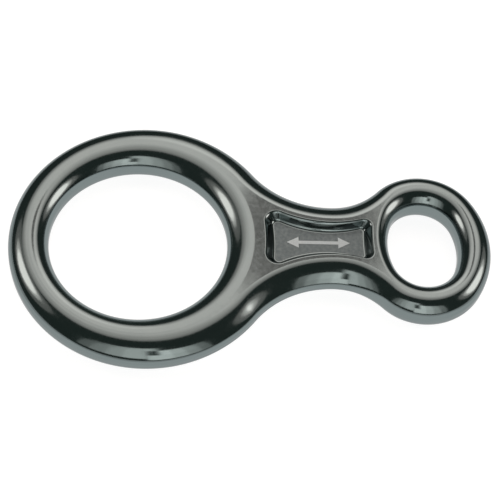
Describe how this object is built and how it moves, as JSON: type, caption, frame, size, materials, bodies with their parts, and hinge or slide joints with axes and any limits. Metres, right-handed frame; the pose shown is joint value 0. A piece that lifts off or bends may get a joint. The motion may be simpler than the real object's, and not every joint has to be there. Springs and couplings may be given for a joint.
{
  "type": "rope descender",
  "caption": "Figure-eight rope descender: a big rope ring and a small oblong carabiner eye joined by a flat neck with a coined pocket, forged in one piece with fully rounded edges.",
  "frame": {"origin": "centre of the rope ring's bore, half way through the thickness", "axes": "+Z along the rope ring's bore, out of a face; +X from the rope ring to the carabiner eye along the part's length; +Y across the neck"},
  "size_m": [0.146, 0.0824, 0.012],
  "materials": {
    "anodised_aluminium": "polished dark grey anodising, matte in the pocket floor"
  },
  "bodies": {
    "root": {"descender_body": "anodised_aluminium"}
  },
  "joints": []
}
